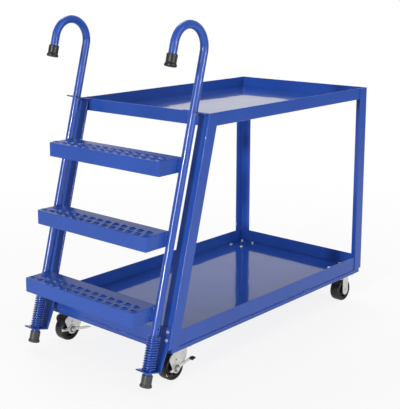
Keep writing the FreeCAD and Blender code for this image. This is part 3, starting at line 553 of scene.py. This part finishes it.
for level in STEP_LEVELS:
    dress_step(f"step_{level}")
for side in SIDES:
    dress(f"handrail_{side}", RAIL_EDGE)
    dress(f"spring_collar_{side}", SHEET_EDGE)
    dress(f"stop_pin_{side}", PLATE_EDGE, yellow_zinc)
    dress(f"spring_pin_{side}", PLATE_EDGE, dull_zinc)
    dress(f"top_guide_{side}", PLATE_EDGE)
    dress(f"spring_bracket_{side}", PLATE_EDGE)
print(len(STEP_LEVELS), "steps and", len(SIDES), "rails dressed")

# %% [markdown]
# ## Rubber tips
#
# A tip is a moulded cup with a thick floor and a flared, rounded base, spun round the leaning
# axis of its rail. The grips on the hooks are the same moulding in a blacker rubber.

# %% Spin the tips
LEAN = math.radians(15)
RAIL_AXIS = Vector((math.sin(LEAN), 0, math.cos(LEAN)))
TIP_OUTLINE = (
    (8, 0), (8, 15.9), (46, 15.9), (46, 18.6), (45.4, 19.7), (44, 20.4), (30, 20.3), (17, 20.1),
    (13.5, 20.3), (11.2, 21.2), (9.6, 22.5), (7.6, 23.3), (5, 23.5), (2.6, 23.1), (1, 21.9),
    (0, 19.5), (0, 0),
)
FOOT_LEVEL = 28.5 * MM
TIP_RADIUS = 23.5 * MM


def rail_floor_point(side):
    """Where a rail's axis would meet the floor, from the lowest corner of its rubber foot."""
    low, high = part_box(f"foot_tip_{side}")
    lowest = low.x + TIP_RADIUS * math.cos(LEAN)
    return Vector((lowest - FOOT_LEVEL * math.sin(LEAN), (low.y + high.y) / 2, 0))


for side in SIDES:
    foot_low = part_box(f"foot_tip_{side}")[0]
    base = rail_floor_point(side) + RAIL_AXIS * FOOT_LEVEL
    for solid, rubber in ((f"foot_tip_{side}", foot_rubber), (f"grip_cap_{side}", grip_rubber)):
        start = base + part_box(solid)[0] - foot_low
        tip = spun(metres(TIP_OUTLINE), start, RAIL_AXIS, SPIN_STEPS["tip"])
        smooth_shading(tip)
        finish_piece(tip, f"{solid}_moulded", rubber, "ladder", "rubber_tip", solid)
print("rails meet the floor at", [[round(v, 4) for v in rail_floor_point(side)] for side in SIDES])

# %% [markdown]
# ## Springs
#
# Each rail stands on a wound spring that lifts its rubber foot off the floor until someone
# climbs. The wire is a curve through points of a helix, whose pitch fades out over half a turn
# at each end so that the ends lie flat. Given a round bevel, the curve becomes the wire. It is
# made a mesh, because the spring shortens as the ladder goes down.

# %% Wind the springs
BACK = Vector((math.cos(LEAN), 0, -math.sin(LEAN)))
SEAT_LEVEL = 91 * MM
SPRING_LENGTH = 122 * MM
SPRING_RADIUS = 25 * MM
WIRE_RADIUS = 2.75 * MM
END_GAP = 0.3 * MM
TURNS, FLAT_TURNS = 13, 0.5
POINTS_PER_TURN = 20
LINE_ROUNDNESS = 3


def helix_rise(turn):
    """The share of the climb after some turns, with flat ends."""
    full = TURNS - FLAT_TURNS
    if turn < FLAT_TURNS:
        return turn * turn / (2 * FLAT_TURNS) / full
    if turn > TURNS - FLAT_TURNS:
        rest = TURNS - turn
        return 1 - rest * rest / (2 * FLAT_TURNS) / full
    return (turn - FLAT_TURNS / 2) / full


def round_line(name, places, radius, swells=None):
    """A round line through some places, as a mesh. Its radius may swell from place to place."""
    curve = bpy.data.curves.new(name, "CURVE")
    curve.dimensions = "3D"
    curve.bevel_depth = radius
    curve.bevel_resolution = LINE_ROUNDNESS
    curve.use_fill_caps = True
    line = curve.splines.new("POLY")
    line.points.add(len(places) - 1)
    for number, (point, place) in enumerate(zip(line.points, places)):
        point.co = (*place, 1)
        point.radius = swells[number] if swells else 1
    piece = bpy.data.objects.new(name, curve)
    bpy.context.scene.collection.objects.link(piece)
    pick(piece)
    bpy.ops.object.convert(target="MESH")
    bpy.ops.object.shade_smooth()
    return bpy.context.object


def wound_wire(name, base):
    """A helix of wire up a rail."""
    climb = SPRING_LENGTH - 2 * (WIRE_RADIUS + END_GAP)
    radius = SPRING_RADIUS - WIRE_RADIUS
    places = []
    for number in range(TURNS * POINTS_PER_TURN + 1):
        turn = number / POINTS_PER_TURN
        angle = turn * math.tau
        level = SEAT_LEVEL + END_GAP + WIRE_RADIUS + climb * helix_rise(turn)
        outwards = BACK * math.cos(angle) + ACROSS * math.sin(angle)
        places.append(base + RAIL_AXIS * level + outwards * radius)
    return round_line(name, places, WIRE_RADIUS)


for side in SIDES:
    base = rail_floor_point(side)
    spring = wound_wire(f"spring_{side}_wound", base)
    finish_piece(spring, f"spring_{side}_wound", paint, "cart", "blue_paint", f"spring_{side}")
    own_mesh(spring)
    print(spring.name, len(spring.data.polygons), "faces")

# %% [markdown]
# ## Wheels
#
# The tyre is a ring of hard rubber with two moulded ridges on each wall and a slightly crowned
# tread. The hub fills it with a recessed web. Both are spun round the axle from half an
# outline, which is mirrored so that the two walls match.

# %% Spin the wheels
TYRE_HALF = (
    (0, 51), (12, 50.9), (17, 50.5), (20.4, 49.4), (22.6, 47.4), (23.9, 44.8), (23.9, 43.8),
    (22.8, 43.2), (22.8, 42.2), (23.9, 41.6), (23.9, 40.6), (23.2, 39.9), (21.4, 39.4), (20.2, 38.05),
)
HUB_HALF = (
    (0, 38), (20, 38), (20, 35.5), (19.2, 34), (10, 33), (6, 31.6), (4.5, 29), (4.5, 21.5),
    (5.4, 19.4), (9, 17.2), (20, 15.5), (25.2, 14.6), (26, 13.6), (26, 5.05),
)
WHEEL_PARTS = {"tyre": (TYRE_HALF, tyre_rubber), "hub": (HUB_HALF, hub_plastic)}


def whole_outline(half):
    """Half an outline in millimetres with its mirror image, in metres."""
    other = [(-along, radius) for along, radius in reversed(half) if along]
    return metres((*half, *other))


def wheel_middle(wheel):
    """The middle of a wheel, on its axle."""
    low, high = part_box(wheel + "_tyre")
    return (low + high) / 2


wheels = [f"{end}_wheel_{side}" for end in ("front", "rear") for side in SIDES]
for wheel in wheels:
    for part, (half, finish) in WHEEL_PARTS.items():
        solid = f"{wheel}_{part}"
        ring = spun(whole_outline(half), wheel_middle(wheel), ACROSS, SPIN_STEPS["wheel"])
        smooth_shading(ring)
        finish_piece(ring, f"{solid}_spun", finish, wheel, slot_of[solid], solid)
print(len(wheels), "wheels spun")

# %% [markdown]
# ## Casters and bolts
#
# Forks, plates and levers are pressed steel, so their edges get a small round. Nuts and bolt
# heads get a finer one. Each lever has a raised dark ring round its nut, and each swivel race a
# brown dust ring. The near lever also wears two black rubber pads on its tabs. A pad is a cube
# that is scaled in Edit Mode, tilted like the lever under it and bevelled.

# %% Dress the casters and bolts
BOLT_EDGE, PAD_EDGE = 0.6 * MM, 2 * MM
NUT_RING = ((0, 9.6), (1.2, 9.8), (1.6, 10.6), (1.6, 12.8), (1, 13.8), (0, 14.2))
DUST_RING = ((0, 34.05), (0, 36), (0.8, 36.8), (4.6, 36.8), (5.4, 36), (5.4, 34.05))
RACE_GAP = 0.6 * MM
LEVER_THICK = 3 * MM
LEVER_TILT = math.radians(-11)
PAD_SIZE = Vector((20, 17, 7)) * MM
TAB_MIDDLES = (Vector((-50.5, -12, 4.5)) * MM, Vector((78.5, -12, 4.5)) * MM)


def lever_rings(side):
    """The ring round a lever's nut and the dust ring round the race above it."""
    centre = wheel_middle(f"front_wheel_{side}")
    centre.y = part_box(f"brake_lever_{side}")[1].y - LEVER_THICK
    ring = spun(metres(NUT_RING), centre, -ACROSS, SPIN_STEPS["nut ring"])
    smooth_shading(ring)
    finish_piece(ring, f"lever_ring_{side}", dull_zinc, f"brake_{side}", "zinc_steel")
    plate_low, plate_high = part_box(f"caster_plate_{side}")
    race = (plate_low + plate_high) / 2
    race.z = plate_low.z + RACE_GAP
    ring = spun(metres(DUST_RING), race, UP, SPIN_STEPS["dust ring"])
    smooth_shading(ring)
    finish_piece(ring, f"dust_ring_{side}", yellow_zinc, "cart", "zinc_steel")


def rubber_pad(name, middle):
    """A soft rubber block with the lever's tilt."""
    bpy.ops.object.select_all(action="DESELECT")
    bpy.ops.mesh.primitive_cube_add(size=1)
    pad = bpy.context.object
    bpy.ops.object.mode_set(mode="EDIT")
    bpy.ops.mesh.select_all(action="SELECT")
    bpy.ops.transform.resize(value=PAD_SIZE)
    bpy.ops.object.mode_set(mode="OBJECT")
    pad.data.transform(Matrix.Translation(middle) @ Matrix.Rotation(LEVER_TILT, 4, "Y"))
    round_edges(pad, PAD_EDGE)
    finish_piece(pad, name, grip_rubber, "brake_right", "rubber_tip")


for side in SIDES:
    for solid in ("swivel_fork", "rigid_fork", "caster_plate", "brake_lever"):
        dress(f"{solid}_{side}", PLATE_EDGE)
    for solid in ("king_pin", "front_axle", "rear_axle", "bracket_bolts"):
        dress(f"{solid}_{side}", BOLT_EDGE)
dress("caster_bolts", PLATE_EDGE)
dress("caster_nuts", BOLT_EDGE)
for side in SIDES:
    lever_rings(side)
lever_middle = wheel_middle("front_wheel_right")
lever_middle.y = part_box("brake_lever_right")[1].y - LEVER_THICK / 2
for number, middle in enumerate(TAB_MIDDLES):
    rubber_pad(f"lever_pad_{number}", lever_middle + Matrix.Rotation(LEVER_TILT, 3, "Y") @ middle)

# %% [markdown]
# ## Weld beads
#
# A weld is a row of small ripples. Its bead is a round line through places a millimetre apart,
# which swells at each ripple, wavers a little from side to side and thins out at its ends. Both
# the swell and the waver are sums of two sines, so that the ripples differ.

# %% Shape a bead
RIPPLE = 6 * MM
BEAD_STEP = 1 * MM
WAVER = ((0.16, 0.37, 0), (0.1, 0.61, 1))
SWELL = ((0.36, 1, 0), (0.1, 0.43, 0))
END_SHARE = 0.3


def waves(phase, terms):
    """A sum of sines, each given by its share, its pace and its start."""
    return sum(share * math.sin(phase * pace + start) for share, pace, start in terms)


def weld_bead(name, corners, radius, body):
    """A rippled bead along straight runs between corners."""
    places, swells = [], []
    lengths = [(end - start).length for start, end in zip(corners, corners[1:])]
    total, before = sum(lengths), 0
    for start, end, length in zip(corners, corners[1:], lengths):
        side = (end - start).orthogonal().normalized()
        count = max(2, round(length / BEAD_STEP))
        for number in range(count):
            along = before + length * number / count
            phase = along / RIPPLE * math.tau
            places.append(start.lerp(end, number / count) + side * radius * waves(phase, WAVER))
            thin = min(1, along / radius + END_SHARE, (total - along) / radius + END_SHARE)
            swells.append(thin * (1 + waves(phase, SWELL)))
        before += length
    bead = round_line(name, places, radius, swells)
    finish_piece(bead, name, paint, body, "blue_paint")


print("a ripple every", round(RIPPLE / MM), "mm")

# %% [markdown]
# ## Where the welds are
#
# The beads sit where pieces meet: at the ends of the steps, under the guide plates, round the
# top of the posts and in the stitches below the shelf. A long one closes the groove in front,
# and three more lie a little deeper in the groove along the sides and the rear. Places near a
# rail are given by their distance up it, behind its axis and outwards from it.

# %% Run the weld beads
BEAD_RADII = {
    "step": 4.8 * MM, "step back": 2.2 * MM, "guide": 3.4 * MM,
    "post": 2.1 * MM, "stitch": 2.3 * MM, "seam": 2.9 * MM,
}
STEP_HEIGHT = 56 * MM
STEP_MARGIN = 2 * MM
RAIL_TO_STEP = 14 * MM
STEP_WELD_AHEAD, BACK_WELD_BEHIND, BACK_WELD_INSET = 13 * MM, 1.5 * MM, 2.7 * MM
POST_FACE = 52 * MM
GUIDE_LEVEL = 1041.4 * MM
GUIDE_ENDS = (-14 * MM, 24 * MM)
GUIDE_SINK, POST_SINK = 1.6 * MM, 0.3 * MM
POST_HOOK = ((1043, 33.5), (1018, 34), (1002, 34.5), (992, 32), (988, 27), (990, 22))
STITCH_HALF = 31 * MM
END_STITCH_PLACE, END_STITCH_HALF = 18 * MM, 14 * MM
STITCH_PROUD = 0.3 * MM
SEAM_FLUSH, SEAM_SUNK = 2.4 * MM, 4.3 * MM

rim_low, rim_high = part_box("under_rim")
groove_level = rim_high.z - GROOVE / 2


def rail_point(side, along, back, across):
    """A place by its distance up a rail, behind its axis and outwards from it."""
    return rail_floor_point(side) + RAIL_AXIS * along + BACK * back + ACROSS * across * SIDES[side]


def step_welds(side, level):
    """The beads in front of and behind the edge where a step meets a rail."""
    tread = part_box(f"step_{level}")[1].z - BUTTON_HEIGHT
    heights = (tread - STEP_HEIGHT + STEP_MARGIN, tread - STEP_MARGIN)
    ends = [height / math.cos(LEAN) for height in heights]
    back_across = -RAIL_TO_STEP - BACK_WELD_INSET
    front = [rail_point(side, along, -STEP_WELD_AHEAD, -RAIL_TO_STEP) for along in ends]
    rear = [rail_point(side, along, BACK_WELD_BEHIND, back_across) for along in ends]
    weld_bead(f"step_weld_{level}_{side}", front, BEAD_RADII["step"], "ladder")
    weld_bead(f"step_back_weld_{level}_{side}", rear, BEAD_RADII["step back"], "ladder")


def post_welds(side):
    """The bead under a guide plate and the hooked one at the corner of the post."""
    below = [rail_point(side, GUIDE_LEVEL, POST_FACE - GUIDE_SINK, across) for across in GUIDE_ENDS]
    weld_bead(f"guide_weld_{side}", below, BEAD_RADII["guide"], "cart")
    face = POST_FACE - POST_SINK
    hook = [rail_point(side, along, face, across) for along, across in metres(POST_HOOK)]
    weld_bead(f"post_weld_{side}", hook, BEAD_RADII["post"], "cart")


def stitch_welds(side):
    """The four short beads between the under rim and the shelf, along one side."""
    run = rim_high.x - rim_low.x
    y = (rim_high.y + STITCH_PROUD) * SIDES[side]
    stitches = (
        (END_STITCH_PLACE, END_STITCH_HALF),
        (run / 3, STITCH_HALF),
        (run * 2 / 3, STITCH_HALF),
        (run - END_STITCH_PLACE, END_STITCH_HALF),
    )
    for number, (middle, half) in enumerate(stitches):
        x = rim_low.x + middle
        ends = [Vector((end, y, groove_level)) for end in (x - half, x + half)]
        weld_bead(f"stitch_weld_{side}_{number}", ends, BEAD_RADII["stitch"], "cart")


def seam_weld(name, corner, other):
    """A long bead in the groove, from one corner of the under rim to another."""
    ends = [Vector((*place, groove_level)) for place in (corner, other)]
    weld_bead(name, ends, BEAD_RADII["seam"], "cart")


for side in SIDES:
    for level in STEP_LEVELS:
        step_welds(side, level)
    post_welds(side)
    stitch_welds(side)
seam_end = rim_high.y - BEAD_RADII["seam"]
for name, x in (("front_weld", rim_low.x + SEAM_FLUSH), ("rear_weld", rim_high.x - SEAM_SUNK)):
    seam_weld(name, (x, -seam_end), (x, seam_end))
for side, sign in SIDES.items():
    y = (rim_high.y - SEAM_SUNK) * sign
    seam_weld(f"side_weld_{side}", (rim_low.x + SEAM_SUNK, y), (rim_high.x - SEAM_SUNK, y))

# %% [markdown]
# ## Camera
#
# The camera stands where the picture was taken from, above the ladder's near corner. Its place,
# angles and lens come from matching the trolley's corners with the picture. The picture was
# cropped off centre, so the lens is shifted by the same share.

# %% Set up the camera
PICTURE = (400, 409)
FOCAL_PIXELS = 922.97
CENTRE_PIXEL = (175.23, 150.62)
SENSOR_WIDTH = 36
FAR_CLIP = 200
CAMERA_PLACE = Vector((-2.9278, -2.5169, 1.4945))
YAW, PITCH, ROLL = (math.radians(angle) for angle in (42.385, -10.664, -0.157))

long_side = max(PICTURE)
bpy.ops.object.camera_add()
camera = bpy.context.object
camera.data.sensor_width = SENSOR_WIDTH
camera.data.lens = FOCAL_PIXELS / long_side * SENSOR_WIDTH
camera.data.shift_x = (PICTURE[0] / 2 - CENTRE_PIXEL[0]) / long_side
camera.data.shift_y = (CENTRE_PIXEL[1] - PICTURE[1] / 2) / long_side
camera.data.clip_end = FAR_CLIP
camera.matrix_world = (
    Matrix.Translation(CAMERA_PLACE)
    @ Matrix.Rotation(YAW - math.pi / 2, 4, "Z")
    @ Matrix.Rotation(math.pi / 2 + PITCH, 4, "X")
    @ Matrix.Rotation(ROLL, 4, "Z")
)
bpy.context.scene.camera = camera
print("lens", round(camera.data.lens, 2), "mm")

# %% [markdown]
# ## White background
#
# The trolley stands in a white studio. The world is white where the camera looks. A mirror sees
# the pale backdrop behind the trolley, brightest at the horizon, and the darker room in front
# of it. All else gets a soft light, stronger from above than from the sides.

# %% Make the white world
HORIZON_LIGHT, ZENITH_LIGHT = 0.3, 0.6
HORIZON_MIRRORED, ZENITH_MIRRORED = 0.95, 0.35
ROOM_MIRRORED = 0.15
BACKDROP = (0.74, 0.67, 0)


def blend(tree, factor, low, high, reach=(0, 1)):
    """A value that goes from low to high, each a number or an output, as a factor goes over its reach."""
    mix = tree.nodes.new("ShaderNodeMapRange")
    mix.inputs["From Min"].default_value, mix.inputs["From Max"].default_value = reach
    tree.links.new(factor, mix.inputs["Value"])
    for name, end in (("To Min", low), ("To Max", high)):
        if isinstance(end, (int, float)):
            mix.inputs[name].default_value = end
        else:
            tree.links.new(end, mix.inputs[name])
    return mix.outputs["Result"]


def white_world():
    """A world that is white to look at, and lights the trolley softly."""
    world = bpy.data.worlds.new("white_studio")
    bpy.context.scene.world = world
    world.use_nodes = True
    tree = world.node_tree
    direction = tree.nodes.new("ShaderNodeTexCoord")
    parts = tree.nodes.new("ShaderNodeSeparateXYZ")
    tree.links.new(direction.outputs["Generated"], parts.inputs["Vector"])
    rays = tree.nodes.new("ShaderNodeLightPath").outputs
    light = blend(tree, parts.outputs["Z"], HORIZON_LIGHT, ZENITH_LIGHT)
    backdrop = blend(tree, parts.outputs["Z"], HORIZON_MIRRORED, ZENITH_MIRRORED)
    facing = tree.nodes.new("ShaderNodeVectorMath")
    facing.operation = "DOT_PRODUCT"
    facing.inputs[1].default_value = BACKDROP
    tree.links.new(direction.outputs["Generated"], facing.inputs[0])
    mirrored = blend(tree, facing.outputs["Value"], ROOM_MIRRORED, backdrop)
    for kind, strength in (("Is Glossy Ray", mirrored), ("Is Transmission Ray", 1), ("Is Camera Ray", 1)):
        light = blend(tree, rays[kind], light, strength)
    background = tree.nodes["Background"]
    background.inputs["Color"].default_value = (1, 1, 1, 1)
    tree.links.new(light, background.inputs["Strength"])


white_world()
print("world:", bpy.context.scene.world.name)

# %% [markdown]
# ## Floor
#
# The floor is pale and takes the shadow. Part of it glows for the camera, and all of it far
# out, so that it runs into the background without a line. In a mirror it darkens far out.

# %% Lay the floor
FLOOR_SIZE = 60
FLOOR_GREY, FLOOR_ROUGHNESS = 0.9, 0.9
FLOOR_MIRRORED = 0.6
NEAR_GLOW = 0.85
SHADOW_REACH = (0.9, 3.2)
MIRROR_REACH = (2.5, 7)


def pale_floor():
    """A wide floor that keeps the shadow."""
    bpy.ops.object.select_all(action="DESELECT")
    bpy.ops.mesh.primitive_plane_add(size=FLOOR_SIZE)
    floor = bpy.context.object
    floor.name = "floor"
    material, shader = new_finish("pale_floor")
    shader.inputs["Base Color"].default_value = (FLOOR_GREY, FLOOR_GREY, FLOOR_GREY, 1)
    shader.inputs["Roughness"].default_value = FLOOR_ROUGHNESS
    shader.inputs["Specular IOR Level"].default_value = 0
    tree = material.node_tree
    place = tree.nodes.new("ShaderNodeTexCoord")
    distance = tree.nodes.new("ShaderNodeVectorMath")
    distance.operation = "LENGTH"
    tree.links.new(place.outputs["Object"], distance.inputs[0])
    share = blend(tree, distance.outputs["Value"], NEAR_GLOW, 1, SHADOW_REACH)
    mirrored = blend(tree, distance.outputs["Value"], FLOOR_MIRRORED, ROOM_MIRRORED, MIRROR_REACH)
    rays = tree.nodes.new("ShaderNodeLightPath").outputs
    glow = tree.nodes.new("ShaderNodeEmission")
    tree.links.new(blend(tree, rays["Is Glossy Ray"], 1, mirrored), glow.inputs["Strength"])
    mix = tree.nodes.new("ShaderNodeMixShader")
    tree.links.new(blend(tree, rays["Is Diffuse Ray"], share, 0), mix.inputs["Fac"])
    tree.links.new(shader.outputs["BSDF"], mix.inputs[1])
    tree.links.new(glow.outputs["Emission"], mix.inputs[2])
    tree.links.new(mix.outputs["Shader"], tree.nodes["Material Output"].inputs["Surface"])
    floor.data.materials.append(material)


pale_floor()
print("floor", FLOOR_SIZE, "m wide")

# %% [markdown]
# ## Light
#
# All lamps are far ones. Two low ones in front, one above the other, give the faces their order
# of brightness, the crisp shadow of each rail on the post behind it and the white line along
# the tubes. A broad lamp to the right lights the flank and the inside, and a small one below it
# draws a second line on the upper rails. A weak one fills the front, and a high one lights the
# back. A lamp is given by its azimuth, elevation and spread in degrees, and its strength.

# %% Hang the lamps
LAMPS = {
    "key_lamp": (185, 15.5, 4, 1.0),
    "low_key_lamp": (185, 7.5, 4, 0.95),
    "fill_lamp": (225, 14, 60, 0.2),
    "back_lamp": (60, 48, 30, 0.7),
    "side_lamp": (276, 13, 50, 0.9),
    "line_lamp": (276, 5, 4, 0.3),
}


def far_lamp(name, azimuth, elevation, spread, strength):
    """A lamp so far off that its light is the same at every place."""
    bpy.ops.object.light_add(type="SUN")
    lamp = bpy.context.object
    lamp.name = name
    lamp.data.angle = math.radians(spread)
    lamp.data.energy = strength
    around, up = math.radians(azimuth), math.radians(elevation)
    level = math.cos(up)
    toward = Vector((math.cos(around) * level, math.sin(around) * level, math.sin(up)))
    lamp.rotation_euler = toward.to_track_quat("Z", "Y").to_euler()


for name, settings in LAMPS.items():
    far_lamp(name, *settings)
bpy.context.scene.view_settings.view_transform = "Standard"
print(len(LAMPS), "lamps")

# %% [markdown]
# ## Finish

# %% Finish
print("done")
